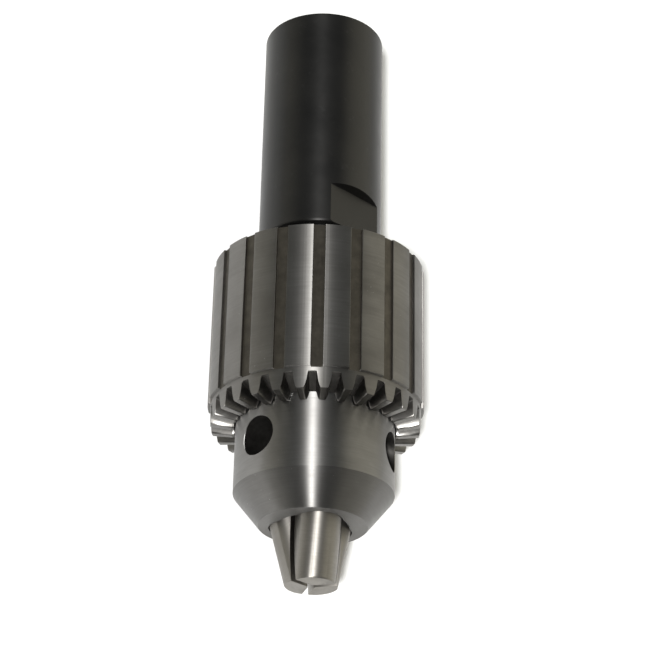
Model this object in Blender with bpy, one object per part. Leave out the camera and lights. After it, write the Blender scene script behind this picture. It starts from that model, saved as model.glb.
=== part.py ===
"""Keyed drill chuck on a straight shank: arbor, body, geared sleeve, split nut and three jaws.

The chuck's axis is the Y axis.  The origin is the centre of the shank's free end face and the nose
points to -Y.  Sizes are in millimetres and become metres where vertices are made.  A place is given
by its radius r from the axis, its station s along it from the shank's end towards the nose, and its
azimuth, in degrees from +Z towards +X.  Jaw 1 is at the top, on +Z.
"""
import math

import bmesh
import bpy
from mathutils import Matrix, Vector

MM = 0.001
GAP = 0.3                     # clearance between neighbouring pieces
RUNNING_GAP = 0.4             # sleeve bore over the rear bearing flange
CHAMFER = 0.4                 # broken edges of the turned pieces
BEYOND = 2.0                  # how far a cutter stands past what it cuts
STOCK = 1.0                   # shorter stretch past an edge that is trimmed later
FAR = 30.0                    # outside every piece

# Shank arbor
SHANK_R = 12.7                # 1 in straight shank
SHANK_END = 50.8
NECK_R = 10.4                 # relief between the shank and the chuck
NECK_END = 56.0
FLAT_START = 42.6             # station where the wrench flats meet their shoulders
FLAT_HALF_AF = 11.1           # 22.2 mm across the two flats
FLAT_AZIMUTH = 24.0
SHOULDER_SKEW = 0.09          # slope of the shoulders across the flats
SHOULDER_LEAN = 0.5           # how far the shoulders lean back for each mm of height
SPIGOT_R = 6.1                # the 1/2-20 stud, plain here
SPIGOT_END = 72.0

# Chuck body
BODY_REAR = 56.3
FLANGE_R = 20.0               # rear bearing for the sleeve
FLANGE_END = 60.0
REAR_BODY_R = 18.4            # thrust shoulder behind the nut
NUT_GROOVE_R = 13.3
COLLAR_R = 15.875             # 1 1/4 in collar that shows below the gear
COLLAR_END = 105.65
NOSE_EDGE_R = 10.95
NOSE_FACE = 112.1
NOSE_FACE_R = 10.7
NOSE_CHAMFER = 0.25           # length of the bevel round the nose face
SOCKET_R = 6.4
THROAT_START = 73.0
THROAT_R = 6.6                # lets a 1/2 in drill shank through
THROAT_CHAMFER = 0.5
KEY_HOLE_R = 4.0              # 5/16 in pilot hole of the key
KEY_HOLE_STATION = 97.7
KEY_HOLE_FLOOR_R = 8.5
KEY_HOLE_AZIMUTHS = (60.0, 180.0, 300.0)

# Sleeve with its ring gear
SLEEVE_REAR = 56.65
SLEEVE_R = 21.6
SLEEVE_CHAMFER = 0.4
CAVITY_R = FLANGE_R + RUNNING_GAP
CAVITY_END = 76.6
POCKET_START = 77.2           # pocket that holds the nut
LAND_END = 87.4               # front end of the knurl lands
GROOVES = 18
GROOVE_DEPTH = 0.55
GROOVE_WIDTH = 2.3
GROOVE_OVERRUN = 0.3          # past the lands, into the back of the gear
TEETH = 28
HEEL_BASE = (21.1, 87.6)      # back cone of the gear, from its base to the tooth tips (r, s)
HEEL_TIP = (20.85, 91.8)
TOE_TIP = (16.6, 92.35)       # inner end of the tooth tips
HEEL_ROOT = (21.0, 88.4)      # bottoms of the tooth gaps, from the heel to the toe
TOE_ROOT = (16.4, 90.65)
GAP_SECTION = (               # height as a share of a tooth, half width of the gap in degrees
    (0.0, 2.34),
    (0.5, 3.0),
    (1.0, 4.5),
    (1.35, 5.4),
)
LIP_R = COLLAR_R + GAP        # bore that runs on the collar
GEAR_AZIMUTH = -16.7          # a tooth gap is centred here
SLEEVE_AZIMUTH = -14.5        # a knurl groove is centred here

# Split nut
NUT_START = 79.3
NUT_END = 88.3
NUT_R = 18.8
NUT_SPLIT_AZIMUTH = 20.0

# Jaws
JAW_ANGLE = math.radians(15.0)
JAW_R = 4.5
JAW_TIP = 124.2
JAW_REAR = 81.5
JAW_AXIS_TIP_R = 0.63         # distance of a jaw's axis from the chuck's axis at its tip
JAW_SPACING = 1.2             # slit between neighbouring jaws as the part is stored
JAW_LAND_R = 0.84             # gripping edge's distance from the axis
JAW_TIP_CHAMFER = 0.2
JAW_OPENING = 21.6            # travel along the jaw's own axis, from here to fully open
BORE_R = JAW_R + GAP
BORE_REAR = 60.2
PITCH = 1.5875                # 16 threads per inch along the jaw
THREAD_END = 109.3            # front end of the jaws' threads
THREAD_ROOT_X = 3.3           # the flat bottom of the grooves, from the jaw's axis
GROOVE_FLOOR_WIDTH = 0.45
FLANK = math.radians(30.0)    # slope of the unloaded flank
THREAD_PLAY = 0.15
RIDGE_TOP_X = 3.75
NUT_BORE_X = JAW_R + GAP
RIDGE_SINK = 0.25             # how deep the ridge is set into the nut's wall
RIDGE_STEPS = 32              # straight pieces in one turn of the nut's ridge
RIDGE_EXTRA_TURNS = 2.6       # ridge that is trimmed off past the nut's faces
SECTOR_HALF = math.radians(60.0)
JAWS = 3

# Straight sides of round surfaces
ROUND = 64
SLEEVE_ROUND = 72
NUT_ROUND = 48
BEVEL_ROUND = 96
SMALL_ROUND = 28
SHARP_ANGLE = math.radians(30.0)

METALS = {                    # colour and roughness
    "black_oxide": ((0.03, 0.032, 0.031), 0.42),
    "ground_steel": ((0.42, 0.41, 0.38), 0.3),
    "polished_steel": ((0.5, 0.5, 0.48), 0.25),
    "hardened_steel": ((0.45, 0.45, 0.42), 0.28),
}


def point(r, s, azimuth):
    """World point, in metres, at radius r, station s and azimuth (degrees)."""
    angle = math.radians(azimuth)
    return Vector((r * math.sin(angle), -s, r * math.cos(angle))) * MM


def new_object(name, bm, cutter=False):
    """Turn a bmesh into a named object with its normals facing out."""
    bmesh.ops.recalc_face_normals(bm, faces=bm.faces)
    mesh = bpy.data.meshes.new(name)
    bm.to_mesh(mesh)
    bm.free()
    obj = bpy.data.objects.new(name, mesh)
    bpy.context.scene.collection.objects.link(obj)
    if cutter:
        obj.hide_render = True
        obj.display_type = "WIRE"
    else:
        mesh.shade_smooth()
        mesh.set_sharp_from_angle(angle=SHARP_ANGLE)
    return obj


def material(name):
    """One of the plain metals."""
    colour, roughness = METALS[name]
    mat = bpy.data.materials.new(name)
    mat.use_nodes = True
    shader = mat.node_tree.nodes["Principled BSDF"]
    shader.inputs["Base Color"].default_value = (*colour, 1.0)
    shader.inputs["Metallic"].default_value = 1.0
    shader.inputs["Roughness"].default_value = roughness
    return mat


def loft(bm, rings):
    """Skin a list of equally long rings of points and cap both ends."""
    rows = [[bm.verts.new(place) for place in ring] for ring in rings]
    for low, high in zip(rows, rows[1:]):
        for index in range(len(low)):
            following = (index + 1) % len(low)
            bm.faces.new((low[index], low[following], high[following], high[index]))
    bm.faces.new(rows[0])
    bm.faces.new(rows[-1])


def turned(name, profile, segments=ROUND, cutter=False):
    """Solid of revolution about the chuck's axis from a closed outline of (r, s) points."""
    bm = bmesh.new()
    rows = []
    for step in range(segments):
        azimuth = 360.0 * step / segments
        rows.append([bm.verts.new(point(r, s, azimuth)) for r, s in profile])
    count = len(profile)
    for step in range(segments):
        low = rows[step]
        high = rows[(step + 1) % segments]
        for index in range(count):
            following = (index + 1) % count
            bm.faces.new((low[index], low[following], high[following], high[index]))
    return new_object(name, bm, cutter)


def turned_solid(name, profile, segments=ROUND, cutter=False):
    """Solid of revolution with no bore, from an outline of (r, s) points from rear to front."""
    bm = bmesh.new()
    rings = []
    for r, s in profile:
        rings.append([point(r, s, 360.0 * step / segments) for step in range(segments)])
    loft(bm, rings)
    return new_object(name, bm, cutter)


def boolean(obj, other, operation):
    """Add a Boolean that keeps Blender's exact solver."""
    modifier = obj.modifiers.new(f"{operation.lower()}_{other.name}", "BOOLEAN")
    modifier.operation = operation
    modifier.solver = "EXACT"
    modifier.object = other


def jaw_axis_r(s):
    """Distance of a jaw's axis from the chuck's axis at station s."""
    return JAW_AXIS_TIP_R + (JAW_TIP - s) * math.tan(JAW_ANGLE)


def jaw_frame(azimuth):
    """Axes of a jaw: x outwards, z along the jaw towards the nose, origin amid the nut."""
    outwards = point(1.0 / MM, 0.0, azimuth)
    forwards = Vector((0.0, -1.0, 0.0))
    x_axis = outwards * math.cos(JAW_ANGLE) + forwards * math.sin(JAW_ANGLE)
    z_axis = forwards * math.cos(JAW_ANGLE) - outwards * math.sin(JAW_ANGLE)
    y_axis = z_axis.cross(x_axis)
    middle = (NUT_START + NUT_END) / 2.0
    origin = point(jaw_axis_r(middle), middle, azimuth)
    frame = Matrix((x_axis, y_axis, z_axis)).transposed().to_4x4()
    return Matrix.Translation(origin) @ frame


def inclined_round(bm, radius, start, end, azimuth):
    """Round bar along a jaw's axis whose ends are square to the chuck's axis."""
    rings = []
    for s in (start, end):
        ring = []
        for step in range(SMALL_ROUND):
            angle = 2.0 * math.pi * step / SMALL_ROUND
            r = jaw_axis_r(s) + radius * math.cos(angle) / math.cos(JAW_ANGLE)
            across = radius * math.sin(angle)
            ring.append(Matrix.Rotation(math.radians(azimuth), 4, "Y") @ (Vector((across, -s, r)) * MM))
        rings.append(ring)
    loft(bm, rings)


def make_arbor(mat):
    """Straight shank with two wrench flats, a neck and the stud that screws into the body."""
    profile = [
        (SHANK_R - CHAMFER, 0.0),
        (SHANK_R, CHAMFER),
        (SHANK_R, SHANK_END - CHAMFER),
        (SHANK_R - CHAMFER, SHANK_END),
        (NECK_R, SHANK_END),
        (NECK_R, NECK_END),
        (SPIGOT_R, NECK_END),
        (SPIGOT_R, SPIGOT_END - CHAMFER),
        (SPIGOT_R - CHAMFER, SPIGOT_END),
    ]
    arbor = turned_solid("shank_arbor", profile)
    top = SHANK_R + BEYOND
    bm = bmesh.new()
    for azimuth in (FLAT_AZIMUTH, FLAT_AZIMUTH + 180.0):
        turn = Matrix.Rotation(math.radians(azimuth), 4, "Y")
        rings = []
        for x in (-SHANK_R, SHANK_R):
            foot = FLAT_START + SHOULDER_SKEW * x
            corners = [
                (foot, FLAT_HALF_AF),
                (SHANK_END + BEYOND, FLAT_HALF_AF),
                (SHANK_END + BEYOND, top),
                (foot - SHOULDER_LEAN * (top - FLAT_HALF_AF), top),
            ]
            rings.append([turn @ (Vector((x, -s, z)) * MM) for s, z in corners])
        loft(bm, rings)
    boolean(arbor, new_object("flat_cutter", bm, cutter=True), "DIFFERENCE")
    arbor.data.materials.append(mat)
    return arbor


def make_body(mat):
    """Body: rear flange, nut groove, collar and nose cone, with jaw bores and key holes."""
    profile = [
        (SOCKET_R, BODY_REAR),
        (FLANGE_R - CHAMFER, BODY_REAR),
        (FLANGE_R, BODY_REAR + CHAMFER),
        (FLANGE_R, FLANGE_END),
        (REAR_BODY_R, FLANGE_END),
        (REAR_BODY_R, NUT_START - GAP),
        (NUT_GROOVE_R, NUT_START - GAP),
        (NUT_GROOVE_R, NUT_END + GAP),
        (COLLAR_R, NUT_END + GAP),
        (COLLAR_R, COLLAR_END),
        (NOSE_EDGE_R, NOSE_FACE - NOSE_CHAMFER),
        (NOSE_FACE_R, NOSE_FACE),
        (THROAT_R + THROAT_CHAMFER, NOSE_FACE),
        (THROAT_R, NOSE_FACE - THROAT_CHAMFER),
        (THROAT_R, THROAT_START),
        (SOCKET_R, THROAT_START),
    ]
    body = turned("chuck_body", profile)
    for jaw in range(JAWS):
        bm = bmesh.new()
        inclined_round(bm, BORE_R, BORE_REAR, JAW_TIP, 360.0 * jaw / JAWS)
        boolean(body, new_object(f"bore_cutter_{jaw + 1}", bm, cutter=True), "DIFFERENCE")
    bm = bmesh.new()
    for azimuth in KEY_HOLE_AZIMUTHS:
        turn = Matrix.Rotation(math.radians(azimuth), 4, "Y")
        rings = []
        for depth in (KEY_HOLE_FLOOR_R, COLLAR_R + BEYOND):
            ring = []
            for step in range(SMALL_ROUND):
                angle = 2.0 * math.pi * step / SMALL_ROUND
                across = KEY_HOLE_R * math.cos(angle)
                along = KEY_HOLE_STATION + KEY_HOLE_R * math.sin(angle)
                ring.append(turn @ (Vector((across, -along, depth)) * MM))
            rings.append(ring)
        loft(bm, rings)
    boolean(body, new_object("key_hole_cutter", bm, cutter=True), "DIFFERENCE")
    body.data.materials.append(mat)
    return body


def make_sleeve(mat):
    """Sleeve: knurled outside, bevel ring gear in front, cavity and nut pocket inside."""
    profile = [
        (CAVITY_R, SLEEVE_REAR),
        (SLEEVE_R - SLEEVE_CHAMFER, SLEEVE_REAR),
        (SLEEVE_R, SLEEVE_REAR + SLEEVE_CHAMFER),
        (SLEEVE_R, LAND_END),
        HEEL_BASE,
        HEEL_TIP,
        TOE_TIP,
        (LIP_R, TOE_TIP[1]),
        (LIP_R, NUT_END + GAP),
        (NUT_R + GAP, NUT_END + GAP),
        (NUT_R + GAP, POCKET_START),
        (CAVITY_R, CAVITY_END),
    ]
    sleeve = turned("sleeve", profile, segments=SLEEVE_ROUND)
    half = GROOVE_WIDTH / 2.0
    floor = SLEEVE_R - GROOVE_DEPTH
    top = SLEEVE_R + STOCK
    corners = [(-half, floor), (half, floor), (half, top), (-half, top)]
    bm = bmesh.new()
    for groove in range(GROOVES):
        azimuth = SLEEVE_AZIMUTH + 360.0 * groove / GROOVES
        turn = Matrix.Rotation(math.radians(azimuth), 4, "Y")
        rings = []
        for s in (SLEEVE_REAR - BEYOND, LAND_END + GROOVE_OVERRUN):
            rings.append([turn @ (Vector((x, -s, z)) * MM) for x, z in corners])
        loft(bm, rings)
    boolean(sleeve, new_object("groove_cutter", bm, cutter=True), "DIFFERENCE")
    bm = bmesh.new()
    for tooth in range(TEETH):
        loft(bm, tooth_gap(GEAR_AZIMUTH + 360.0 * tooth / TEETH))
    boolean(sleeve, new_object("tooth_cutter", bm, cutter=True), "DIFFERENCE")
    sleeve.data.materials.append(mat)
    return sleeve


def along_line(start, end, r):
    """Point of the line through two (r, s) points at radius r."""
    part = (r - start[0]) / (end[0] - start[0])
    return (r, start[1] + part * (end[1] - start[1]))


def tooth_gap(azimuth):
    """Sections of the space between two bevel teeth, from past the heel to past the toe."""
    rings = []
    for root_r, tip_r in ((HEEL_ROOT[0], HEEL_TIP[0]), (LIP_R - BEYOND, LIP_R - BEYOND)):
        root = along_line(HEEL_ROOT, TOE_ROOT, root_r + STOCK)
        tip = along_line(HEEL_TIP, TOE_TIP, tip_r + STOCK)
        left = []
        right = []
        for height, half in GAP_SECTION:
            r = root[0] + height * (tip[0] - root[0])
            s = root[1] + height * (tip[1] - root[1])
            left.append(point(r, s, azimuth - half))
            right.append(point(r, s, azimuth + half))
        rings.append(left + right[::-1])
    return rings


def nut_ridge():
    """The nut's inside thread: a buttress ridge wound on the cone that the jaws' backs touch."""
    slack = THREAD_PLAY
    crest = GROOVE_FLOOR_WIDTH + (RIDGE_TOP_X - THREAD_ROOT_X) * math.tan(FLANK) - 2.0 * slack
    sunk_x = NUT_BORE_X + RIDGE_SINK
    base = crest + (sunk_x - RIDGE_TOP_X) * math.tan(FLANK)
    section = [(sunk_x, 0.0), (sunk_x, -base), (RIDGE_TOP_X, -crest), (RIDGE_TOP_X, 0.0)]
    front = GROOVE_FLOOR_WIDTH / 2.0 - slack
    turns = (NUT_END - NUT_START) / math.cos(JAW_ANGLE) / PITCH + RIDGE_EXTRA_TURNS
    steps = int(turns * RIDGE_STEPS)
    middle = (NUT_START + NUT_END) / 2.0
    bm = bmesh.new()
    rings = []
    for step in range(steps + 1):
        turn = step / RIDGE_STEPS - round(turns / 2.0)
        ring = []
        for x, w in section:
            along = w + front - PITCH * turn
            r = jaw_axis_r(middle) + x * math.cos(JAW_ANGLE) - along * math.sin(JAW_ANGLE)
            s = middle + x * math.sin(JAW_ANGLE) + along * math.cos(JAW_ANGLE)
            ring.append(point(r, s, 360.0 * turn))
        rings.append(ring)
    loft(bm, rings)
    return new_object("ridge_cutter", bm, cutter=True)


def nut_bore_r(s):
    """Radius of the nut's wall inside its thread."""
    return jaw_axis_r(s) + NUT_BORE_X / math.cos(JAW_ANGLE)


def make_nut_half(name, azimuth, ridge, mat):
    """Half of the split nut, cut from a threaded ring."""
    rear = NUT_START - STOCK
    front = NUT_END + STOCK
    outer = NUT_R + STOCK
    profile = [(nut_bore_r(rear), rear), (outer, rear), (outer, front), (nut_bore_r(front), front)]
    ring = turned(name, profile, segments=NUT_ROUND)
    boolean(ring, ridge, "UNION")
    bm = bmesh.new()
    rows = []
    half_gap = GAP / 2.0
    steps = NUT_ROUND // 2
    turn = Matrix.Rotation(math.radians(azimuth), 4, "Y")
    inner = NUT_GROOVE_R - STOCK
    for s in (NUT_START, NUT_END):
        row = []
        for radius, order in ((NUT_R, range(steps + 1)), (inner, range(steps, -1, -1))):
            trim = math.asin(half_gap / radius)
            for step in order:
                angle = -math.pi / 2.0 + trim + (math.pi - 2.0 * trim) * step / steps
                place = Vector((radius * math.sin(angle), -s, radius * math.cos(angle)))
                row.append(turn @ (place * MM))
        rows.append(row)
    loft(bm, rows)
    boolean(ring, new_object(f"{name}_keeper", bm, cutter=True), "INTERSECT")
    ring.data.materials.append(mat)
    return ring


def jaw_wedge(azimuth):
    """Three-sided sector that a jaw is ground to, between its square rear and tip faces."""
    apex = JAW_SPACING / 2.0 / math.sin(SECTOR_HALF)
    land = (JAW_LAND_R - apex) * math.tan(SECTOR_HALF)
    wide = (FAR - apex) * math.tan(SECTOR_HALF)
    corners = [(-land, JAW_LAND_R), (land, JAW_LAND_R), (wide, FAR), (-wide, FAR)]
    turn = Matrix.Rotation(math.radians(azimuth), 4, "Y")
    bm = bmesh.new()
    loft(bm, [[turn @ (Vector((x, -s, z)) * MM) for x, z in corners] for s in (JAW_REAR, JAW_TIP)])
    return new_object("wedge_cutter", bm, cutter=True)


def tip_cone():
    """Round keeper that chamfers the jaws' tips."""
    tip_r = jaw_axis_r(JAW_TIP) + JAW_R / math.cos(JAW_ANGLE) - JAW_TIP_CHAMFER
    profile = [
        (tip_r + FAR, JAW_REAR - BEYOND),
        (tip_r + FAR, JAW_TIP - FAR),
        (tip_r - BEYOND, JAW_TIP + BEYOND),
    ]
    return turned_solid("tip_cutter", profile, cutter=True)


def jaw_bevel(azimuth):
    """Keeper that trims a jaw's rear end, so that it clears the sleeve when fully open."""
    shift = -JAW_OPENING * math.sin(JAW_ANGLE)
    turn = Matrix.Rotation(math.radians(azimuth), 4, "Y")
    rings = []
    for s in (JAW_REAR - BEYOND, JAW_TIP + BEYOND):
        ring = []
        for step in range(BEVEL_ROUND):
            angle = 2.0 * math.pi * step / BEVEL_ROUND
            x = (CAVITY_R - GAP) * math.sin(angle)
            z = (CAVITY_R - GAP) * math.cos(angle) + shift
            ring.append(turn @ (Vector((x, -s, z)) * MM))
        rings.append(ring)
    bm = bmesh.new()
    loft(bm, rings)
    return new_object("bevel_cutter", bm, cutter=True)


def jaw_comb(jaw):
    """Buttress grooves across a jaw's back; each jaw's start a third of a pitch apart."""
    frame = jaw_frame(360.0 * jaw / JAWS)
    middle = (NUT_START + NUT_END) / 2.0
    rear = (JAW_REAR - middle) / math.cos(JAW_ANGLE)
    front = (THREAD_END - middle) / math.cos(JAW_ANGLE)
    tilt = PITCH / (2.0 * math.pi * (jaw_axis_r(middle) + JAW_R))
    half_floor = GROOVE_FLOOR_WIDTH / 2.0
    outer = JAW_R + STOCK
    widening = (outer - THREAD_ROOT_X) * math.tan(FLANK)
    bm = bmesh.new()
    first = math.floor(rear / PITCH) - 1
    last = math.ceil(front / PITCH) + 1
    for number in range(first, last + 1):
        centre = (number - jaw / JAWS) * PITCH
        if centre < rear or centre > front:
            continue
        rings = []
        for across in (-outer, outer):
            lift = centre + tilt * across
            corners = [
                (THREAD_ROOT_X, lift - half_floor),
                (THREAD_ROOT_X, lift + half_floor),
                (outer, lift + half_floor),
                (outer, lift - half_floor - widening),
            ]
            rings.append([frame @ (Vector((x, across, z)) * MM) for x, z in corners])
        loft(bm, rings)
    return new_object(f"comb_cutter_{jaw + 1}", bm, cutter=True)


def make_jaw(jaw, tip, mat):
    """One jaw: an inclined bar, ground to a wedge and threaded on its back."""
    azimuth = 360.0 * jaw / JAWS
    bm = bmesh.new()
    inclined_round(bm, JAW_R, JAW_REAR - BEYOND, JAW_TIP + BEYOND, azimuth)
    piece = new_object(f"jaw_{jaw + 1}", bm)
    boolean(piece, jaw_wedge(azimuth), "INTERSECT")
    boolean(piece, jaw_bevel(azimuth), "INTERSECT")
    boolean(piece, tip, "INTERSECT")
    boolean(piece, jaw_comb(jaw), "DIFFERENCE")
    piece.data.materials.append(mat)
    return piece


def move_origin(piece, place):
    """Put a moving piece's origin on its joint's axis and leave its shape where it is."""
    piece.data.transform(Matrix.Translation(-place))
    piece.location = place


def main():
    for obj in list(bpy.data.objects):
        bpy.data.objects.remove(obj, do_unlink=True)
    make_arbor(material("black_oxide"))
    make_body(material("polished_steel"))
    sleeve = make_sleeve(material("ground_steel"))
    move_origin(sleeve, point(0.0, (SLEEVE_REAR + LAND_END) / 2.0, 0.0))
    hardened = material("hardened_steel")
    middle = (NUT_START + NUT_END) / 2.0
    ridge = nut_ridge()
    for name, azimuth in (("nut_half_a", 0.0), ("nut_half_b", 180.0)):
        half = make_nut_half(name, NUT_SPLIT_AZIMUTH + azimuth, ridge, hardened)
        move_origin(half, point(0.0, middle, 0.0))
    tip = tip_cone()
    for jaw in range(JAWS):
        piece = make_jaw(jaw, tip, hardened)
        move_origin(piece, point(jaw_axis_r(middle), middle, 360.0 * jaw / JAWS))


main()
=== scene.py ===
"""Looks of the keyed drill chuck: fine meshes and worn-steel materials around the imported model.

Shapes are given as in the CAD model: the chuck's axis is Y, s is the station in millimetres from the
shank's free end towards the nose (-Y), r the radius from the axis, and an azimuth runs from +Z
towards +X in degrees.
"""
import math

import bmesh
import bpy
from mathutils import Matrix, Vector


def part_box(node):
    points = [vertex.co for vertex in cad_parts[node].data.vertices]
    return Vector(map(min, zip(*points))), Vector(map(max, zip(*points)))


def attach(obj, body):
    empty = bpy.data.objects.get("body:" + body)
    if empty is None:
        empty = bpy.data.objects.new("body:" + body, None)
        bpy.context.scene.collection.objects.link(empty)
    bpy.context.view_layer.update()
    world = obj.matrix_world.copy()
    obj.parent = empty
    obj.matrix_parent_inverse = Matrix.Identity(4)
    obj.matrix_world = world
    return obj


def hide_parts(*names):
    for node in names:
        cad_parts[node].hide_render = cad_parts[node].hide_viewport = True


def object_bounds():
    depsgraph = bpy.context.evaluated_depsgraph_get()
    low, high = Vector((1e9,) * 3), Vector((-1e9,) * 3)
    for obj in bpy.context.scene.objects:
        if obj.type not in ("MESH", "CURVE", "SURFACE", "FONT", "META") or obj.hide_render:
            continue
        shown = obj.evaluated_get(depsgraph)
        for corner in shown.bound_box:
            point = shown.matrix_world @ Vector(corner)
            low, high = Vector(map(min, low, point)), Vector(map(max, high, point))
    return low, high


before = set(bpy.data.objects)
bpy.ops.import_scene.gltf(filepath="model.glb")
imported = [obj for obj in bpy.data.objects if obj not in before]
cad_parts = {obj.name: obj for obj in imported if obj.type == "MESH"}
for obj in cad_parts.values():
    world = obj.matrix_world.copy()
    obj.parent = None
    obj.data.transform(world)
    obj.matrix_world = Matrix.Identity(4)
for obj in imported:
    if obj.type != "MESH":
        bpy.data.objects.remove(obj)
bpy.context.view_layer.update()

MM = 0.001


def stations(node):
    """Rear and front station of a CAD node, in millimetres."""
    low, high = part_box(node)
    return -high[1] / MM, -low[1] / MM


def widest_r(node):
    """Largest radius of a round CAD node, in millimetres."""
    low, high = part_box(node)
    return (high[2] - low[2]) / 2.0 / MM


# Sizes read from the frame
SHANK_R = widest_r("shank_arbor")
ARBOR_REAR, SPIGOT_END = stations("shank_arbor")
FLANGE_R = widest_r("chuck_body")
BODY_REAR, NOSE_FACE = stations("chuck_body")
SLEEVE_R = widest_r("sleeve")
SLEEVE_REAR, GEAR_FRONT = stations("sleeve")
NUT_START, NUT_END = stations("nut_half_a")
JAW_REAR, JAW_TIP = stations("jaw_1")
GAP = 0.3

# Shank arbor
SHANK_END = 50.8
NECK_R = 10.4
NECK_END = BODY_REAR - GAP
FLAT_START = 42.6
FLAT_HALF_AF = 11.1
FLAT_AZIMUTH = 24.0
FLAT_FILLET = 0.2
SHOULDER_SKEW = 0.09
SHOULDER_LEAN = 0.5
SPIGOT_R = 6.1
THREAD_TURN = 1.27            # 20 threads per inch

# Chuck body
FLANGE_END = 60.0
REAR_BODY_R = 18.4
NUT_GROOVE_R = 13.3
COLLAR_R = 15.875
COLLAR_END = 105.65
COLLAR_LINE = 91.65
NOSE_EDGE_R = 10.95
SOCKET_R = 6.4
THROAT_START = 73.0
THROAT_R = 6.6
KEY_HOLE_R = 4.0
KEY_HOLE_STATION = 97.7
KEY_HOLE_FLOOR_R = 8.5
KEY_HOLE_AZIMUTHS = (60.0, 180.0, 300.0)

# Sleeve and ring gear
CAVITY_R = 20.4
CAVITY_END = 76.6
POCKET_START = 77.2
POCKET_R = 19.1
LAND_END = 87.4
GROOVES = 18
GROOVE_DEPTH = 0.55
TEETH = 28
HEEL_BASE = (21.04, 87.6)
HEEL_TIP = (20.85, 91.8)
TOE_TIP = (16.6, GEAR_FRONT)
HEEL_ROOT = (21.0, 88.4)
TOE_ROOT = (16.4, 90.65)
LIP_R = COLLAR_R + GAP
GEAR_AZIMUTH = -16.7
SLEEVE_AZIMUTH = -14.5
LAND_STEP = 1.6               # degrees between the lines drawn along a land
GROOVE_SECTION = (             # distance from the groove's middle (mm), depth as a share
    (0.0, 1.0),
    (0.6, 1.0),
    (1.1, 1.0),
    (1.13, 0.96),
    (1.15, 0.12),
    (1.19, 0.03),
    (1.27, 0.0),
)
TOOTH_SECTION = (              # degrees from the middle of a tooth gap, height as a share
    (0.0, 0.0),
    (1.2, 0.0),
    (2.05, 0.0),
    (2.3, 0.035),
    (2.46, 0.13),
    (2.75, 0.31),
    (3.0, 0.5),
    (3.45, 0.7),
    (3.95, 0.87),
    (4.3, 0.96),
    (4.5, 0.99),
    (4.7, 1.0),
    (5.6, 1.0),
)

# The sleeve's materials, and the stretches of its outline that they cover
# the inside material is near-black steel, painted shade on the bore, the lip, the pocket and the floors
# between the teeth
GROUND, GROOVE, INSIDE_PAINTED_SHADE, TOOTH = range(4)
OUTER_STRETCHES = range(1, 10)
TOOTH_STRETCHES = range(12, 19)
INNER_STRETCHES = (0, 19, 20, 21, 22)

# Jaws
JAW_ANGLE = math.radians(15.0)
JAW_R = 4.5
JAW_AXIS_TIP_R = 0.63
JAW_SPACING = 1.2
JAW_LAND_R = 0.84
JAW_OPENING = 21.6
BORE_REAR = 60.2
PITCH = 1.5875
THREAD_END = 109.3
THREAD_ROOT_X = 3.3
GROOVE_FLOOR_WIDTH = 0.45
FLANK = math.radians(30.0)
JAWS = 3

# Stage
VIEW_AZIMUTH = math.radians(-14.5)      # the camera's place round the chuck's axis
CAMERA_PLACE = Vector((-0.09085, -0.24849, 0.3513))
CAMERA_TARGET = Vector((0.00132, -0.06783, 0.0))
CAMERA_ROLL = math.radians(31.78)
CAMERA_LENS = 110.3
FLASH_OFFSET = Vector((-0.022, 0.0, -0.005))
FLASH_FAR = 3.0                         # how many times further off than the camera
FLASH_SIZE = 0.08
FLASH_POWER = 17.0
ROOM_COLOUR = (0.97, 1.0, 0.98, 1.0)
ROOM_OVERHEAD = (0.03, 0.38)            # towards the nose, towards the shank
SIDE_COLOUR = (1.0, 0.95, 0.78, 1.0)
ROOM_RIGHT = 1.25
ROOM_LEFT = 0.72
ROOM_FLANKS = (0.05, 1.0)               # how far the sides fade towards the nose
FLOOR_HALF = 3.0
FLOOR_GAP = 0.0002

ROUND = 288                   # straight sides of a fine round surface


# ---------------------------------------------------------------- meshes

def point(r, s, azimuth):
    """World point, in metres, at radius r, station s and azimuth."""
    angle = math.radians(azimuth)
    return Vector((r * math.sin(angle), -s, r * math.cos(angle))) * MM


def new_object(name, bm, cutter=False):
    """Turn a bmesh into a named object with its normals facing out."""
    bmesh.ops.recalc_face_normals(bm, faces=bm.faces)
    mesh = bpy.data.meshes.new(name)
    bm.to_mesh(mesh)
    bm.free()
    obj = bpy.data.objects.new(name, mesh)
    bpy.context.scene.collection.objects.link(obj)
    obj.hide_render = cutter
    return obj


def skin(bm, rows, closed_rows=False):
    """Quads between neighbouring rows of vertices; each row is a closed ring."""
    count = len(rows)
    for index in range(count if closed_rows else count - 1):
        low = rows[index]
        high = rows[(index + 1) % count]
        for place in range(len(low)):
            following = (place + 1) % len(low)
            bm.faces.new((low[place], low[following], high[following], high[place]))


def loft(bm, rings):
    """Skin a list of equally long rings of points and cap both ends."""
    rows = [[bm.verts.new(place) for place in ring] for ring in rings]
    skin(bm, rows)
    bm.faces.new(rows[0])
    bm.faces.new(rows[-1])


def turned(name, profile):
    """Solid of revolution from a closed outline of (r, s) points, which stays off the axis."""
    bm = bmesh.new()
    rows = []
    for step in range(ROUND):
        rows.append([bm.verts.new(point(r, s, 360.0 * step / ROUND)) for r, s in profile])
    skin(bm, rows, closed_rows=True)
    return new_object(name, bm)


def turned_solid(name, profile, segments, cutter=False):
    """Solid of revolution with flat ends, from an outline of (r, s) points from rear to front."""
    bm = bmesh.new()
    rings = []
    for r, s in profile:
        rings.append([point(r, s, 360.0 * step / segments) for step in range(segments)])
    loft(bm, rings)
    return new_object(name, bm, cutter)


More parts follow.
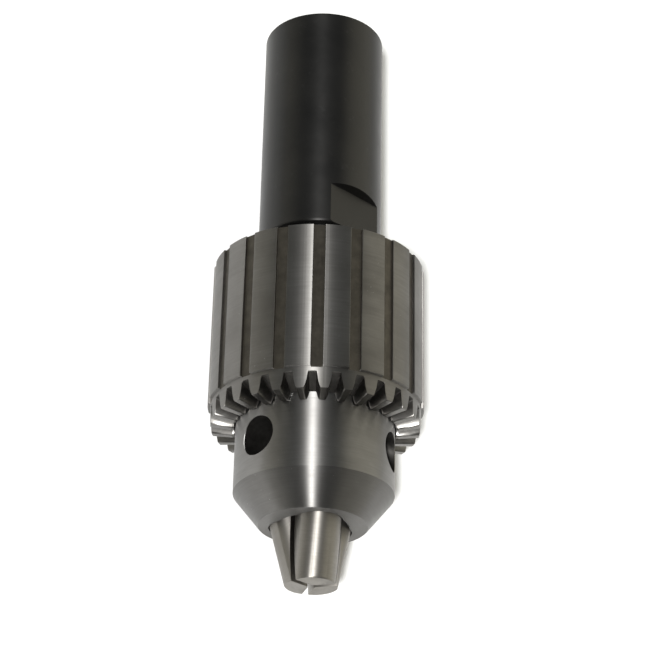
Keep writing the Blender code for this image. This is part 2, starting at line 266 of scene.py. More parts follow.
def rounded(profile, radii, steps=4):
    """An (r, s) outline with its listed corners replaced by arcs; radii maps corner to radius."""
    result = []
    count = len(profile)
    for index, corner in enumerate(profile):
        radius = radii.get(index, 0.0)
        if not radius:
            result.append(corner)
            continue
        here = Vector(corner)
        before = (Vector(profile[index - 1]) - here).normalized()
        after = (Vector(profile[(index + 1) % count]) - here).normalized()
        half = before.angle(after) / 2.0
        reach = radius / math.tan(half)
        centre = here + (before + after).normalized() * (radius / math.sin(half))
        start = here + before * reach - centre
        end = here + after * reach - centre
        for step in range(steps + 1):
            arm = start.slerp(end, step / steps) * radius
            result.append(tuple(centre + arm))
    return result


def cut(obj, other, operation="DIFFERENCE"):
    """Apply an exact Boolean and remove the other object."""
    modifier = obj.modifiers.new("cut", "BOOLEAN")
    modifier.operation = operation
    modifier.solver = "EXACT"
    modifier.object = other
    bake_modifiers(obj)
    bpy.data.objects.remove(other, do_unlink=True)


def bake_modifiers(obj):
    """Replace an object's mesh with the one its modifiers give."""
    depsgraph = bpy.context.evaluated_depsgraph_get()
    mesh = bpy.data.meshes.new_from_object(obj.evaluated_get(depsgraph))
    obj.modifiers.clear()
    old = obj.data
    obj.data = mesh
    bpy.data.meshes.remove(old)


def break_edges(obj, width, angle):
    """Round off an object's sharp edges."""
    modifier = obj.modifiers.new("edges", "BEVEL")
    modifier.width = width * MM
    modifier.segments = 2
    modifier.limit_method = "ANGLE"
    modifier.angle_limit = math.radians(angle)
    modifier.harden_normals = False
    bake_modifiers(obj)


def smooth(obj, angle=28.0):
    """Smooth shading with crisp edges."""
    obj.data.shade_smooth()
    obj.data.set_sharp_from_angle(angle=math.radians(angle))


def flatten_faces(obj):
    """Weight normals by area, so that only the narrow faces along edges look rounded."""
    modifier = obj.modifiers.new("weigh", "WEIGHTED_NORMAL")
    modifier.keep_sharp = True
    bake_modifiers(obj)


def true_normals(obj, straight_parts, slack=0.006):
    """Give faces that lie on a cylinder or cone about the Y axis that surface's own normal.

    Each straight part is the ((r, s), (r, s)) of one stretch of the turned outline.
    """
    mesh = obj.data
    smooth(obj)
    normals = [Vector(corner.vector) for corner in mesh.corner_normals]
    for face in mesh.polygons:
        corners = [mesh.vertices[index].co / MM for index in face.vertices]
        places = [(math.hypot(c.x, c.z), -c.y) for c in corners]
        for start, end in straight_parts:
            along = Vector((end[0] - start[0], end[1] - start[1]))
            length = along.length
            along.normalize()
            off = [abs((r - start[0]) * along.y - (s - start[1]) * along.x) for r, s in places]
            run = [(r - start[0]) * along.x + (s - start[1]) * along.y for r, s in places]
            if max(off) > slack or min(run) < -slack or max(run) > length + slack:
                continue
            outward = Vector((face.center.x, 0.0, face.center.z)).normalized()
            tilt = Vector((along.y, -along.x))
            if face.normal.dot(outward * tilt.x - Vector((0.0, 1.0, 0.0)) * tilt.y) < 0.0:
                tilt = -tilt
            for loop in face.loop_indices:
                place = mesh.vertices[mesh.loops[loop].vertex_index].co
                radial = Vector((place.x, 0.0, place.z)).normalized()
                normals[loop] = radial * tilt.x - Vector((0.0, 1.0, 0.0)) * tilt.y
            break
    mesh.normals_split_custom_set([tuple(normal) for normal in normals])


# ---------------------------------------------------------------- materials

class Shading:
    """A Principled material built from short node calls."""

    def __init__(self, name):
        self.material = bpy.data.materials.new(name)
        self.material.use_nodes = True
        self.tree = self.material.node_tree
        self.shader = self.tree.nodes["Principled BSDF"]
        self.place = self.tree.nodes.new("ShaderNodeTexCoord").outputs["Object"]

    def node(self, kind, inputs=(), **settings):
        """New node with its settings, then its inputs, which are values or other nodes' outputs."""
        made = self.tree.nodes.new(kind)
        for key, value in settings.items():
            setattr(made, key, value)
        for key, value in dict(inputs).items():
            self.plug(made.inputs[key], value)
        return made

    def plug(self, socket, value):
        """Set a socket to a value, or link it to an output."""
        if isinstance(value, bpy.types.NodeSocket):
            self.tree.links.new(value, socket)
        else:
            socket.default_value = value

    def math(self, operation, first, second=0.0):
        """Output of a Math node."""
        return self.node("ShaderNodeMath", {0: first, 1: second}, operation=operation).outputs[0]

    def axis_place(self):
        """Station in metres, radius in metres and azimuth in turns, about the chuck's axis."""
        parts = self.node("ShaderNodeSeparateXYZ", {0: self.place}).outputs
        across = self.math("MULTIPLY", parts["X"], parts["X"])
        up = self.math("MULTIPLY", parts["Z"], parts["Z"])
        radius = self.math("SQRT", self.math("ADD", across, up))
        azimuth = self.math("DIVIDE", self.math("ARCTAN2", parts["X"], parts["Z"]), 2.0 * math.pi)
        return parts["Y"], radius, azimuth

    def noise(self, scale, detail=3.0, roughness=0.55, place=None, stretch=(1.0, 1.0, 1.0)):
        """Noise of that many grains per metre, which stretch can draw out along an axis."""
        where = self.node(
            "ShaderNodeMapping",
            {"Vector": place if place is not None else self.place, "Scale": stretch},
        )
        made = self.node(
            "ShaderNodeTexNoise",
            {"Vector": where.outputs[0], "Scale": scale, "Detail": detail, "Roughness": roughness},
        )
        return made.outputs["Fac"]

    def ring_noise(self, scale, around=6.0, detail=2.0):
        """Turning marks: grains drawn out round the axis and fine along it."""
        station, radius, azimuth = self.axis_place()
        # the azimuth's own seam, opposite +Z, is hidden by walking round a circle instead
        angle = self.math("MULTIPLY", azimuth, 2.0 * math.pi)
        circle_x = self.math("MULTIPLY", self.math("SINE", angle), around / scale)
        circle_z = self.math("MULTIPLY", self.math("COSINE", angle), around / scale)
        run = self.math("ADD", station, radius)
        where = self.node("ShaderNodeCombineXYZ", {"X": circle_x, "Y": run, "Z": circle_z}).outputs[0]
        return self.noise(scale, detail=detail, place=where)

    def spread(self, value, low, high, new_low=0.0, new_high=1.0):
        """Map a range of values to another, clamped."""
        made = self.node(
            "ShaderNodeMapRange",
            {"Value": value, "From Min": low, "From Max": high, "To Min": new_low, "To Max": new_high},
        )
        return made.outputs[0]

    def blend(self, part, first, second):
        """Mix of two colours."""
        made = self.node("ShaderNodeMix", data_type="RGBA")
        self.plug(made.inputs[0], part)
        self.plug(made.inputs[6], first)
        self.plug(made.inputs[7], second)
        return made.outputs[2]

    def bump(self, height, depth):
        """Bump of that many metres."""
        return self.node("ShaderNodeBump", {"Height": height, "Distance": depth, "Strength": 1.0}).outputs[0]

    def finish(self, colour, roughness, normal=None, metallic=1.0, lay=None, **sockets):
        """Set the shader's sockets; marks across the direction of lay stretch highlights along it."""
        self.plug(self.shader.inputs["Base Color"], colour)
        self.plug(self.shader.inputs["Roughness"], roughness)
        self.plug(self.shader.inputs["Metallic"], metallic)
        if normal is not None:
            self.plug(self.shader.inputs["Normal"], normal)
        if lay is not None:
            axis = self.node("ShaderNodeCombineXYZ", {"X": lay[0], "Y": lay[1], "Z": lay[2]})
            self.plug(self.shader.inputs["Tangent"], axis.outputs[0])
        for name, value in sockets.items():
            self.plug(self.shader.inputs[name.replace("_", " ")], value)
        return self.material


def grey(level, warmth=0.0):
    """Grey colour, a little warmer with more warmth."""
    return (level * (1.0 + warmth), level, level * (1.0 - 1.6 * warmth), 1.0)


def turned_steel(name, light, dark, rough, marks=2600.0, lay=(0.0, 1.0, 0.0), brushed=1.0):
    """Steel with fine marks round the axis, faint staining and a few dings."""
    made = Shading(name)
    lines = made.ring_noise(marks, around=3.0, detail=3.0)
    bands = made.ring_noise(marks / 3.0, around=1.5, detail=2.0)
    stain = made.noise(70.0, detail=5.0, roughness=0.6)
    speck = made.spread(made.noise(2600.0, detail=1.0), 0.74, 0.8)
    rare = made.spread(made.noise(170.0, detail=2.0), 0.52, 0.62)
    base = made.blend(made.spread(stain, 0.35, 0.7), light, dark)
    tint = made.blend(made.spread(lines, 0.35, 0.68, 0.0, 0.5), base, dark)
    nicked = made.blend(made.math("MULTIPLY", made.math("MULTIPLY", speck, rare), 0.5), tint, grey(0.6))
    roughness = made.math(
        "ADD",
        made.spread(bands, 0.3, 0.7, rough - 0.02, rough + 0.03),
        made.spread(stain, 0.3, 0.7, 0.0, 0.03),
    )
    height = made.math("ADD", lines, made.math("MULTIPLY", bands, 0.4))
    normal = made.bump(height, 0.000003)
    return made.finish(nicked, roughness, normal, lay=lay, Anisotropic=brushed)


def groove_steel(name, colour, shade, rough):
    """Dull dark steel at the bottom of cut grooves, with grime and milling marks; the near-black inside
    steel made with it is painted shade.
    """
    made = Shading(name)
    grime = made.noise(420.0, detail=5.0, roughness=0.65)
    streaks = made.noise(1500.0, detail=2.0, stretch=(1.0, 0.12, 1.0))
    base = made.blend(made.spread(grime, 0.35, 0.65), colour, shade)
    rough_part = made.spread(streaks, 0.3, 0.7, rough - 0.07, rough + 0.08)
    height = made.math("ADD", grime, streaks)
    return made.finish(base, rough_part, made.bump(height, 0.00001), metallic=0.85)


def oxide_steel(name, level, rough):
    """Black-oxide steel: charcoal, satin, with faint marks round it and rubbed patches."""
    made = Shading(name)
    lines = made.ring_noise(1700.0, around=3.0, detail=3.0)
    cloud = made.noise(70.0, detail=4.0)
    rub = made.spread(made.noise(260.0, detail=5.0, roughness=0.7), 0.62, 0.78)
    base = made.blend(made.spread(cloud, 0.3, 0.7), grey(0.8 * level, 0.01), grey(1.2 * level, 0.03))
    worn = made.blend(made.math("MULTIPLY", rub, 0.2), base, grey(0.1))
    roughness = made.spread(cloud, 0.3, 0.7, rough - 0.04, rough + 0.05)
    height = made.math("ADD", lines, made.math("MULTIPLY", rub, 0.3))
    normal = made.bump(height, 0.000003)
    return made.finish(worn, roughness, normal, metallic=0.9, lay=(0.0, 1.0, 0.0), Anisotropic=0.8)


# ---------------------------------------------------------------- arbor

def flat_cutter(azimuth):
    """Cutter for a wrench flat whose leaning shoulder meets it in a small fillet."""
    turn = Matrix.Rotation(math.radians(azimuth), 4, "Y")
    top = SHANK_R + 2.0
    lean = Vector((-SHOULDER_LEAN, 1.0)).normalized()
    half = lean.angle(Vector((1.0, 0.0))) / 2.0
    reach = FLAT_FILLET / math.tan(half)
    middle = Vector((reach, FLAT_FILLET))
    start = lean * reach - middle
    end = Vector((reach, 0.0)) - middle
    bend = [tuple(middle + start.slerp(end, step / 6) * FLAT_FILLET) for step in range(7)]
    rings = []
    for x in (-SHANK_R, SHANK_R):
        foot = FLAT_START + SHOULDER_SKEW * x
        side = [(foot - SHOULDER_LEAN * (top - FLAT_HALF_AF), top)]
        side += [(foot + s, FLAT_HALF_AF + z) for s, z in bend]
        side += [(SHANK_END + 2.0, FLAT_HALF_AF), (SHANK_END + 2.0, top)]
        rings.append([turn @ (Vector((x, -s, z)) * MM) for s, z in side])
    bm = bmesh.new()
    loft(bm, rings)
    return new_object("flat_cutter", bm, cutter=True)


def make_arbor(oxide, shade):
    """Shank with rounded ends and two milled flats, its neck and the threaded stud."""
    outline = [
        (SHANK_R - 0.5, ARBOR_REAR),
        (SHANK_R - 0.16, ARBOR_REAR + 0.09),
        (SHANK_R - 0.04, ARBOR_REAR + 0.24),
        (SHANK_R, ARBOR_REAR + 0.5),
        (SHANK_R, SHANK_END - 0.45),
        (SHANK_R - 0.05, SHANK_END - 0.22),
        (SHANK_R - 0.17, SHANK_END - 0.08),
        (SHANK_R - 0.4, SHANK_END),
        (NECK_R + 0.3, SHANK_END),
        (NECK_R, SHANK_END + 0.3),
        (NECK_R, NECK_END),
        (SPIGOT_R + 0.2, NECK_END),
        (SPIGOT_R - 0.5, NECK_END + 0.4),
        (SPIGOT_R - 0.5, NECK_END + 1.5),
    ]
    turns = int((SPIGOT_END - NECK_END - 3.0) / THREAD_TURN)
    for turn in range(turns):
        start = NECK_END + 1.5 + turn * THREAD_TURN
        outline.append((SPIGOT_R, start + 0.5 * THREAD_TURN))
        outline.append((SPIGOT_R, start + 0.62 * THREAD_TURN))
        outline.append((SPIGOT_R - 0.6, start + THREAD_TURN))
    outline.append((SPIGOT_R - 0.6, SPIGOT_END))
    arbor = turned_solid("shank_arbor_fine", outline, segments=192)
    for azimuth in (FLAT_AZIMUTH, FLAT_AZIMUTH + 180.0):
        cut(arbor, flat_cutter(azimuth))
    true_normals(arbor, list(zip(outline[3:11], outline[4:11])))
    arbor.data.materials.append(oxide)
    arbor.data.materials.append(shade)
    painted_shade_slot = 1
    # painted shade: the nose-facing shoulder faces of the flats get the near-black copy of the oxide
    for face in arbor.data.polygons:
        on_shoulder = face.normal.y < -0.5 and face.center.y > -(SHANK_END - 1.0) * MM
        if on_shoulder:
            face.material_index = painted_shade_slot
    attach(arbor, "body")
    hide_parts("shank_arbor")


# ---------------------------------------------------------------- body

def jaw_axis_r(s):
    """Distance of a jaw's axis from the chuck's axis at station s."""
    return JAW_AXIS_TIP_R + (JAW_TIP - s) * math.tan(JAW_ANGLE)


def inclined_round(radius, start, end, azimuth, segments=96):
    """Round bar along a jaw's axis whose ends are square to the chuck's axis."""
    turn = Matrix.Rotation(math.radians(azimuth), 4, "Y")
    bm = bmesh.new()
    rings = []
    for s in (start, end):
        ring = []
        for step in range(segments):
            angle = 2.0 * math.pi * step / segments
            r = jaw_axis_r(s) + radius * math.cos(angle) / math.cos(JAW_ANGLE)
            ring.append(turn @ (Vector((radius * math.sin(angle), -s, r)) * MM))
        rings.append(ring)
    loft(bm, rings)
    return bm


def key_hole(azimuth):
    """Cutter for a key hole, flared at its mouth so that the hole's edge is broken."""
    turn = Matrix.Rotation(math.radians(azimuth), 4, "Y")
    segments = 72
    flare = 0.1
    point_r = 0.4
    point_depth = 1.2
    rings = [[], [], [], [], []]
    for step in range(segments):
        angle = 2.0 * math.pi * step / segments
        surface = math.sqrt(COLLAR_R ** 2 - (KEY_HOLE_R * math.cos(angle)) ** 2)
        section = (
            (point_r, KEY_HOLE_FLOOR_R - point_depth),
            (KEY_HOLE_R, KEY_HOLE_FLOOR_R),
            (KEY_HOLE_R, surface - flare),
            (KEY_HOLE_R + 3.0 * flare, surface + 2.0 * flare),
            (KEY_HOLE_R + 3.0 * flare, COLLAR_R + 2.0),
        )
        for ring, (radius, height) in zip(rings, section):
            along = KEY_HOLE_STATION + radius * math.sin(angle)
            ring.append(turn @ (Vector((radius * math.cos(angle), -along, height)) * MM))
    bm = bmesh.new()
    loft(bm, rings)
    return new_object("hole_cutter", bm, cutter=True)


def make_body(polished, dark, cone):
    """Body with its collar, nose cone, inclined jaw bores and key holes."""
    corners = [
        (SOCKET_R, BODY_REAR),
        (FLANGE_R - 0.4, BODY_REAR),
        (FLANGE_R, BODY_REAR + 0.4),
        (FLANGE_R, FLANGE_END),
        (REAR_BODY_R, FLANGE_END),
        (REAR_BODY_R, NUT_START - GAP),
        (NUT_GROOVE_R, NUT_START - GAP),
        (NUT_GROOVE_R, NUT_END + GAP),
        (COLLAR_R - 0.06, NUT_END + GAP),
        (COLLAR_R - 0.06, COLLAR_LINE),
        (COLLAR_R, COLLAR_LINE + 0.12),
        (COLLAR_R, COLLAR_END),
        (NOSE_EDGE_R, NOSE_FACE - 0.25),
        (NOSE_EDGE_R - 0.25, NOSE_FACE),
        (THROAT_R + 0.5, NOSE_FACE),
        (THROAT_R, NOSE_FACE - 0.5),
        (THROAT_R, THROAT_START),
        (SOCKET_R, THROAT_START),
    ]
    outline = rounded(corners, {11: 0.25, 12: 0.15})
    body = turned("chuck_body_fine", outline)
    for jaw in range(JAWS):
        bore = inclined_round(JAW_R + GAP, BORE_REAR, JAW_TIP, 360.0 * jaw / JAWS)
        cut(body, new_object("bore_cutter", bore, cutter=True))
    for azimuth in KEY_HOLE_AZIMUTHS:
        cut(body, key_hole(azimuth))
    true_normals(body, list(zip(outline, outline[1:])))
    body.data.materials.append(polished)
    body.data.materials.append(dark)
    body.data.materials.append(cone)
    inside_painted_shade_slot = 1
    cone_painted_shade_slot = 2
    for face in body.data.polygons:
        centre = face.center / MM
        station = -centre.y
        radius = math.hypot(centre.x, centre.z)
        # faces inside the body, under the collar and in the bores, take the near-black steel: painted shade
        inside = radius < COLLAR_R - 0.5 and BODY_REAR + 1.0 < station < COLLAR_END
        if inside:
            face.material_index = inside_painted_shade_slot
        # faces past the collar's end take the darker copy of the polished steel: painted shade on the nose
        # cone
        elif station > COLLAR_END:
            face.material_index = cone_painted_shade_slot
    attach(body, "body")
    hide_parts("chuck_body")


# ---------------------------------------------------------------- sleeve

def share(section, distance):
    """Value of a section at a distance from its middle."""
    for (near, low), (far, high) in zip(section, section[1:]):
        if distance <= far:
            return low + (high - low) * (distance - near) / (far - near)
    return section[-1][1]


def columns():
    """Azimuths at which the sleeve's outline is drawn: all the edges of grooves and teeth."""
    degrees_per_mm = 360.0 / (2.0 * math.pi * SLEEVE_R)
    found = set()
    for groove in range(GROOVES):
        middle = SLEEVE_AZIMUTH + 360.0 * groove / GROOVES
        for distance, _ in GROOVE_SECTION:
            for side in (-1.0, 1.0):
                found.add(round((middle + side * distance * degrees_per_mm) % 360.0, 4))
        land_middle = middle + 180.0 / GROOVES
        for step in range(-3, 4):
            found.add(round((land_middle + LAND_STEP * step) % 360.0, 4))
    for tooth in range(TEETH):
        middle = GEAR_AZIMUTH + 360.0 * tooth / TEETH
        for distance, _ in TOOTH_SECTION:
            for side in (-1.0, 1.0):
                found.add(round((middle + side * distance) % 360.0, 4))
    kept = []
    closest = 0.02
    for azimuth in sorted(found):
        if not kept or azimuth - kept[-1] > closest:
            kept.append(azimuth)
    return kept


def off_middle(azimuth, first, count):
    """Degrees from an azimuth to the nearest of equally spaced middles."""
    spacing = 360.0 / count
    return abs((azimuth - first + spacing / 2.0) % spacing - spacing / 2.0)


def between(start, end, part):
    """Point part of the way from one (r, s) to another."""
    return (start[0] + part * (end[0] - start[0]), start[1] + part * (end[1] - start[1]))


def sleeve_outline(azimuth):
    """Closed (r, s) outline of the sleeve at one azimuth, with its groove depth and tooth height there.

    The depth and the height are shares of the whole groove's and the whole tooth's.
    """
    turn = off_middle(azimuth, SLEEVE_AZIMUTH, GROOVES)
    across = SLEEVE_R * math.sin(math.radians(turn))
    depth = share(GROOVE_SECTION, across)
    floor = (SLEEVE_R - GROOVE_DEPTH) / math.cos(math.radians(turn))
    land = SLEEVE_R if depth == 0.0 else SLEEVE_R + (floor - SLEEVE_R) * depth
    height = share(TOOTH_SECTION, off_middle(azimuth, GEAR_AZIMUTH, TEETH))
    heel = between(HEEL_ROOT, HEEL_TIP, height)
    toe = between(TOE_ROOT, TOE_TIP, height)
    back = between(heel, HEEL_BASE, 0.08 / math.dist(heel, HEEL_BASE))
    front = between(heel, toe, 0.08 / math.dist(heel, toe))
    toe_back = between(toe, heel, 0.07 / math.dist(heel, toe))
    outline = [
        (CAVITY_R, SLEEVE_REAR + 0.25),
        (CAVITY_R + 0.2, SLEEVE_REAR),
        (SLEEVE_R - GROOVE_DEPTH - 0.05, SLEEVE_REAR),
        (min(land, SLEEVE_R - 0.22), SLEEVE_REAR + 0.01),
        (min(land, SLEEVE_R - 0.05), SLEEVE_REAR + 0.07),
        (land, SLEEVE_REAR + 0.22),
        (land, 0.5 * (SLEEVE_REAR + LAND_END)),
        (land, LAND_END - 0.1),
        (land - 0.06 * (1.0 - depth), LAND_END - 0.02),
        (HEEL_BASE[0], LAND_END + 0.06),
        HEEL_BASE,
        between(HEEL_BASE, back, 0.5),
        back,
        front,
        between(front, toe_back, 0.5),
        toe_back,
        (toe[0] - 0.06, toe[1] - 0.05),
        (LIP_R + 0.05, toe[1] - 0.08),
        (LIP_R, toe[1] - 0.2),
        (LIP_R, NUT_END + GAP),
        (POCKET_R, NUT_END + GAP),
        (POCKET_R, POCKET_START),
        (CAVITY_R, CAVITY_END),
    ]
    return outline, depth, height


def sleeve_material(stretch, depth, height):
    """Material of one stretch of the sleeve's outline, counted in the order of sleeve_outline."""
    if stretch in OUTER_STRETCHES and depth > 0.9:
        return GROOVE
    if stretch in TOOTH_STRETCHES:
        # the floors between the teeth take the near-black inside steel: painted shade
        return INSIDE_PAINTED_SHADE if height < 0.03 else TOOTH
    if stretch in INNER_STRETCHES:
        return INSIDE_PAINTED_SHADE
    return GROUND


def make_sleeve(materials):
    """Sleeve as one skin round the axis: flutes, land ends, bevel teeth and the bored inside."""
    bm = bmesh.new()
    rows = []
    marks = []
    for azimuth in columns():
        outline, depth, height = sleeve_outline(azimuth)
        rows.append([bm.verts.new(point(r, s, azimuth)) for r, s in outline])
        marks.append((depth, height))
    skin(bm, rows, closed_rows=True)
    stretches = len(rows[0])
    for index, face in enumerate(bm.faces):
        row, stretch = divmod(index, stretches)
        following = (row + 1) % len(rows)
        depth = min(marks[row][0], marks[following][0])
        height = 0.5 * (marks[row][1] + marks[following][1])
        face.material_index = sleeve_material(stretch, depth, height)
    sleeve = new_object("sleeve_fine", bm)
    smooth(sleeve, 24.0)
    flatten_faces(sleeve)
    for slot in (GROUND, GROOVE, INSIDE_PAINTED_SHADE, TOOTH):
        sleeve.data.materials.append(materials[slot])
    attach(sleeve, "sleeve")
    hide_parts("sleeve")


# ---------------------------------------------------------------- jaws

def jaw_frame(azimuth):
    """Axes of a jaw: x outwards, z along the jaw towards the nose, origin amid the nut."""
    outwards = point(1.0 / MM, 0.0, azimuth)
    forwards = Vector((0.0, -1.0, 0.0))
    x_axis = outwards * math.cos(JAW_ANGLE) + forwards * math.sin(JAW_ANGLE)
    z_axis = forwards * math.cos(JAW_ANGLE) - outwards * math.sin(JAW_ANGLE)
    y_axis = z_axis.cross(x_axis)
    middle = (NUT_START + NUT_END) / 2.0
    axes = Matrix((x_axis, y_axis, z_axis)).transposed().to_4x4()
    return Matrix.Translation(point(jaw_axis_r(middle), middle, azimuth)) @ axes


def jaw_wedge(azimuth):
    """Three-sided sector that a jaw is ground to, between its square rear and tip faces."""
    slope = math.radians(60.0)
    apex = JAW_SPACING / 2.0 / math.sin(slope)
    far = 30.0
    land = (JAW_LAND_R - apex) * math.tan(slope)
    wide = (far - apex) * math.tan(slope)
    corners = [(-land, JAW_LAND_R), (land, JAW_LAND_R), (wide, far), (-wide, far)]
    turn = Matrix.Rotation(math.radians(azimuth), 4, "Y")
    bm = bmesh.new()
    loft(bm, [[turn @ (Vector((x, -s, z)) * MM) for x, z in corners] for s in (JAW_REAR, JAW_TIP)])
    return new_object("wedge_cutter", bm, cutter=True)


def tip_keeper():
    """Round keeper that rounds off the outer edge of the jaws' tips."""
    tip_r = jaw_axis_r(JAW_TIP) + JAW_R / math.cos(JAW_ANGLE)
    reach = 30.0
    profile = [
        (tip_r + reach, JAW_REAR - 3.0),
        (tip_r + reach, JAW_TIP - 0.2 - reach),
        (tip_r, JAW_TIP - 0.2),
        (tip_r - 0.06, JAW_TIP - 0.08),
        (tip_r - 0.2, JAW_TIP),
        (tip_r - 3.0, JAW_TIP + 1.0),
    ]
    return turned_solid("tip_cutter", profile, segments=128, cutter=True)


def jaw_bevel(azimuth):
    """Keeper that trims a jaw's rear end, so that it clears the sleeve when fully open."""
    shift = -JAW_OPENING * math.sin(JAW_ANGLE)
    turn = Matrix.Rotation(math.radians(azimuth), 4, "Y")
    segments = 160
    rings = []
    for s in (JAW_REAR - 2.0, JAW_TIP + 2.0):
        ring = []
        for step in range(segments):
            angle = 2.0 * math.pi * step / segments
            x = (CAVITY_R - GAP) * math.sin(angle)
            z = (CAVITY_R - GAP) * math.cos(angle) + shift
            ring.append(turn @ (Vector((x, -s, z)) * MM))
        rings.append(ring)
    bm = bmesh.new()
    loft(bm, rings)
    return new_object("bevel_cutter", bm, cutter=True)


def jaw_comb(jaw):
    """Buttress grooves across a jaw's back; each jaw's start a third of a pitch apart."""
    axes = jaw_frame(360.0 * jaw / JAWS)
    middle = (NUT_START + NUT_END) / 2.0
    rear = (JAW_REAR - middle) / math.cos(JAW_ANGLE)
    front = (THREAD_END - middle) / math.cos(JAW_ANGLE)
    tilt = PITCH / (2.0 * math.pi * (jaw_axis_r(middle) + JAW_R))
    half_floor = GROOVE_FLOOR_WIDTH / 2.0
    outer_x = JAW_R + 1.0
    widening = (outer_x - THREAD_ROOT_X) * math.tan(FLANK)
    half_across = JAW_R + 1.0
    bm = bmesh.new()
    for number in range(math.floor(rear / PITCH) - 1, math.ceil(front / PITCH) + 2):
        centre = (number - jaw / JAWS) * PITCH
        if centre < rear - 0.2 or centre > front:
            continue
        rings = []
        for across in (-half_across, half_across):
            lift = centre + tilt * across
            corners = [
                (THREAD_ROOT_X, lift - half_floor),
                (THREAD_ROOT_X, lift + half_floor),
                (outer_x, lift + half_floor),
                (outer_x, lift - half_floor - widening),
            ]
            rings.append([axes @ (Vector((x, across, z)) * MM) for x, z in corners])
        loft(bm, rings)
    return new_object("comb_cutter", bm, cutter=True)


def make_jaw(jaw, steel):
    """One jaw: an inclined bar, ground to a wedge, its edges broken and its back threaded."""
    azimuth = 360.0 * jaw / JAWS
    bar = inclined_round(JAW_R, JAW_REAR - 2.0, JAW_TIP + 2.0, azimuth, segments=144)
    piece = new_object(f"jaw_{jaw + 1}_fine", bar)
    cut(piece, jaw_wedge(azimuth), "INTERSECT")
    cut(piece, tip_keeper(), "INTERSECT")
    break_edges(piece, 0.1, angle=40.0)
    cut(piece, jaw_bevel(azimuth), "INTERSECT")
    cut(piece, jaw_comb(jaw))
    smooth(piece, 25.0)
    piece.data.materials.append(steel)
    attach(piece, f"jaw_{jaw + 1}")
    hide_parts(f"jaw_{jaw + 1}")


# ---------------------------------------------------------------- stage

def make_floor():
    """Pale table top under the sleeve."""
    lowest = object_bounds()[0][2]
    bm = bmesh.new()
    bmesh.ops.create_grid(bm, x_segments=2, y_segments=2, size=FLOOR_HALF)
    floor = new_object("floor", bm)
    floor.location = (0.0, 0.0, lowest - FLOOR_GAP)
    made = Shading("floor_white")
    cloud = made.noise(6.0, detail=2.0)
    made.finish(made.blend(cloud, grey(0.93), grey(0.95)), 0.75, metallic=0.0)
    floor.data.materials.append(made.material)


def make_flash():
    """Square soft light beside the camera's line of sight."""
    light = bpy.data.lights.new("flash", "AREA")
    light.shape = "SQUARE"
    light.size = FLASH_SIZE
    light.energy = FLASH_POWER
    flash = bpy.data.objects.new("flash", light)
    flash.location = CAMERA_TARGET + FLASH_FAR * (CAMERA_PLACE + FLASH_OFFSET - CAMERA_TARGET)
    flash.rotation_euler = (CAMERA_TARGET - flash.location).to_track_quat("-Z", "Y").to_euler()
    bpy.context.scene.collection.objects.link(flash)


def make_camera():
    """Camera above the chuck, a little ahead of its nose."""
    lens = bpy.data.cameras.new("camera")
    lens.lens = CAMERA_LENS
    lens.sensor_width = 36.0
    lens.clip_start = 0.01
    camera = bpy.data.objects.new("camera", lens)
    roll = Matrix.Rotation(CAMERA_ROLL, 4, "Z")
    look = (CAMERA_TARGET - CAMERA_PLACE).to_track_quat("-Z", "Y").to_matrix().to_4x4()
    camera.matrix_world = Matrix.Translation(CAMERA_PLACE) @ look @ roll
    bpy.context.scene.collection.objects.link(camera)
    bpy.context.scene.camera = camera


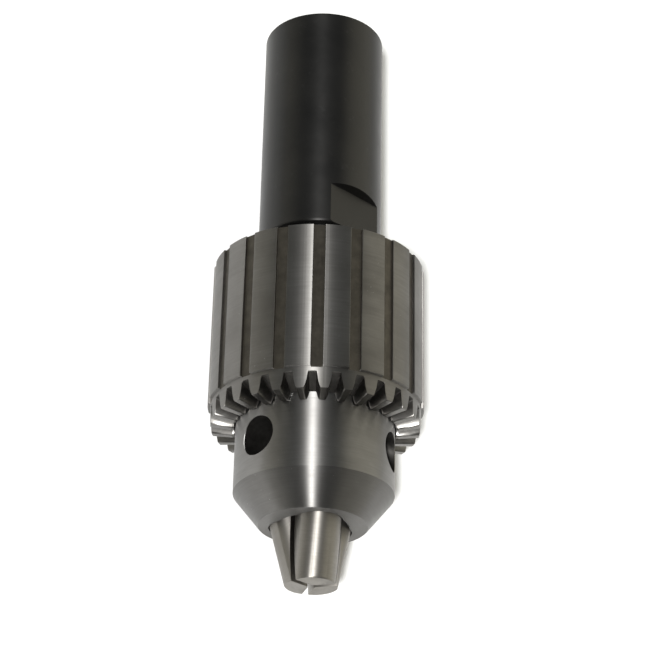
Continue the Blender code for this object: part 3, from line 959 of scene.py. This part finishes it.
def make_world():
    """Room that is dark overhead and paler, warmer, towards its sides."""
    world = bpy.data.worlds.new("room")
    world.use_nodes = True
    tree = world.node_tree
    way = tree.nodes.new("ShaderNodeTexCoord").outputs["Generated"]

    def towards(direction, low, high, dim, bright):
        """Brightness that rises as the view turns towards a direction."""
        dot = tree.nodes.new("ShaderNodeVectorMath")
        dot.operation = "DOT_PRODUCT"
        dot.inputs[1].default_value = direction
        tree.links.new(way, dot.inputs[0])
        ramp = tree.nodes.new("ShaderNodeMapRange")
        ramp.interpolation_type = "SMOOTHSTEP"
        ramp.inputs["From Min"].default_value = low
        ramp.inputs["From Max"].default_value = high
        ramp.inputs["To Min"].default_value = dim
        ramp.inputs["To Max"].default_value = bright
        tree.links.new(dot.outputs["Value"], ramp.inputs["Value"])
        return ramp.outputs[0]

    side = Vector((math.cos(VIEW_AZIMUTH), 0.0, -math.sin(VIEW_AZIMUTH)))
    overhead = towards((0.0, 1.0, 0.0), -0.75, 0.5, *ROOM_OVERHEAD)
    right = towards(side, 0.45, 0.8, 0.0, ROOM_RIGHT)
    left = towards(-side, 0.45, 0.9, 0.0, ROOM_LEFT)
    flanks = tree.nodes.new("ShaderNodeMath")
    flanks.operation = "ADD"
    tree.links.new(right, flanks.inputs[0])
    tree.links.new(left, flanks.inputs[1])
    ahead = towards((0.0, 1.0, 0.0), -0.7, 0.5, *ROOM_FLANKS)
    fading = tree.nodes.new("ShaderNodeMath")
    fading.operation = "MULTIPLY"
    tree.links.new(flanks.outputs[0], fading.inputs[0])
    tree.links.new(ahead, fading.inputs[1])
    background = tree.nodes["Background"]
    glow = tree.nodes.new("ShaderNodeBackground")
    glow.inputs["Color"].default_value = SIDE_COLOUR
    background.inputs["Color"].default_value = ROOM_COLOUR
    tree.links.new(overhead, background.inputs["Strength"])
    tree.links.new(fading.outputs[0], glow.inputs["Strength"])
    both = tree.nodes.new("ShaderNodeAddShader")
    tree.links.new(background.outputs[0], both.inputs[0])
    tree.links.new(glow.outputs[0], both.inputs[1])
    tree.links.new(both.outputs[0], tree.nodes["World Output"].inputs["Surface"])
    bpy.context.scene.world = world
    bpy.context.scene.view_settings.view_transform = "Standard"


def main():
    """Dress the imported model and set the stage."""
    oxide = oxide_steel("black_oxide", 0.028, 0.36)
    # near-black copy of the oxide, painted shade for the flats' shoulders
    oxide_painted_shade = oxide_steel("black_oxide_painted_shade", 0.008, 0.6)
    polished = turned_steel("polished_steel", grey(0.25, 0.02), grey(0.19, 0.03), 0.44, marks=3000.0)
    # darker copy of the polished steel, painted shade on the nose cone
    cone = turned_steel("nose_steel_painted_shade", grey(0.185, 0.02), grey(0.145, 0.03), 0.42, marks=3000.0)
    # near-black steel, painted shade on the inside faces of body and sleeve
    inside = groove_steel("inside_steel_painted_shade", grey(0.06, 0.05), grey(0.035, 0.06), 0.4)
    sleeve_materials = {
        GROUND: turned_steel("ground_steel", grey(0.23, 0.03), grey(0.17, 0.04), 0.46, marks=2200.0),
        GROOVE: groove_steel("groove_steel", grey(0.06, 0.12), grey(0.04, 0.12), 0.5),
        INSIDE_PAINTED_SHADE: inside,
        TOOTH: turned_steel(
            "tooth_steel", grey(0.2, 0.03), grey(0.11, 0.05), 0.3, marks=1400.0, brushed=0.0
        ),
    }
    make_arbor(oxide, oxide_painted_shade)
    make_body(polished, inside, cone)
    make_sleeve(sleeve_materials)
    light = grey(0.25, 0.05)
    dark = grey(0.19, 0.06)
    for jaw in range(JAWS):
        lay = jaw_frame(360.0 * jaw / JAWS).col[2][:3]
        make_jaw(jaw, turned_steel(f"jaw_{jaw + 1}_steel", light, dark, 0.46, lay=lay, brushed=0.7))
    for node in ("nut_half_a", "nut_half_b"):
        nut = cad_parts[node]
        nut.data.materials.clear()
        nut.data.materials.append(turned_steel(f"{node}_steel", grey(0.2, 0.03), grey(0.13, 0.04), 0.4))
    make_floor()
    make_world()
    make_camera()
    make_flash()


main()
